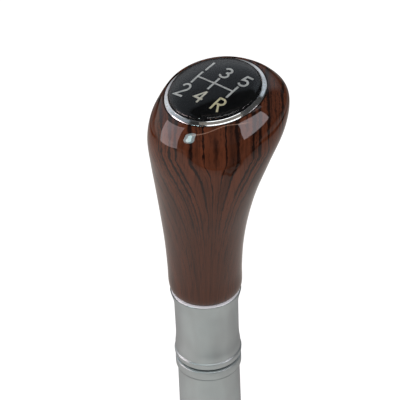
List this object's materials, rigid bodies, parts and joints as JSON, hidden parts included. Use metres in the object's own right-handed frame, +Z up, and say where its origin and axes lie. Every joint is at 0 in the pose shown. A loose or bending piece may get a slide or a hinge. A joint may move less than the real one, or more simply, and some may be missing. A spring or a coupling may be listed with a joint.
{
  "type": "swagger cane",
  "caption": "Tapering walking cane that unscrews at mid shaft and under its gear lever shaped wooden handle, with a domed dial on top and a rubber tip.",
  "frame": {"origin": "centre of the flat foot of the rubber tip, on the floor, with the cane standing upright", "axes": "+Z up along the cane, +X towards the nose of the handle, +Y to the left of someone who looks along +X"},
  "size_m": [0.0582, 0.054, 0.9393],
  "materials": {
    "tip_rubber": "matt moulded",
    "steel": "plain",
    "brass": "machined",
    "chrome": "polished",
    "collar_metal": "satin silver",
    "shaft_lacquer": "gloss black lacquer",
    "handle_wood": "gloss clear lacquer over dark striped red-brown wood",
    "pad_foam": "matt foam tape",
    "dial_black": "gloss",
    "dial_foil": "silver foil",
    "dial_clear": "clear, polished"
  },
  "bodies": {
    "ferrule": {"rubber_ferrule": "tip_rubber", "ferrule_washer": "steel"},
    "lower": {"lower_shaft": "shaft_lacquer", "coupling_stud": "brass"},
    "ring": {"seam_ring": "chrome"},
    "upper": {"upper_shaft": "shaft_lacquer", "coupling_socket": "brass", "lower_collar": "collar_metal"},
    "washer": {"bolt_washer": "steel"},
    "handle": {"upper_collar": "collar_metal", "handle_bolt": "steel", "knob_insert": "brass", "handle_knob": "handle_wood", "dial_pad": "pad_foam", "dial_plate": "dial_black", "bezel_ring": "chrome", "dial_lens": "dial_clear", "shift_gate": "dial_foil", "numeral_1": "dial_foil", "numeral_2": "dial_foil", "numeral_3": "dial_foil", "numeral_4": "dial_foil", "numeral_5": "dial_foil", "letter_R": "dial_foil"}
  },
  "joints": [
    {"name": "ferrule_pull", "type": "slide", "parent": "ferrule", "child": "lower", "axis": [0, 0, 1], "range_m": [0, 0.03]},
    {"name": "shaft_rise", "type": "slide", "parent": "lower", "child": "ring", "axis": [0, 0, 1], "range_m": [0, 0.014]},
    {"name": "shaft_screw", "type": "hinge", "parent": "ring", "child": "upper", "pos_m": [0, 0, 0.3983], "axis": [0, 0, 1], "range_deg": [0, 2525]},
    {"name": "handle_rise", "type": "slide", "parent": "upper", "child": "washer", "axis": [0, 0, 1], "range_m": [0, 0.015]},
    {"name": "handle_screw", "type": "hinge", "parent": "washer", "child": "handle", "pos_m": [0, 0, 0.7996], "axis": [0, 0, 1], "range_deg": [0, 4325]}
  ],
  "couplings": [
    {"joint": "shaft_screw", "follows": "shaft_rise", "rad_per_m": 3141.6},
    {"joint": "handle_screw", "follows": "handle_rise", "rad_per_m": 5026.5}
  ]
}
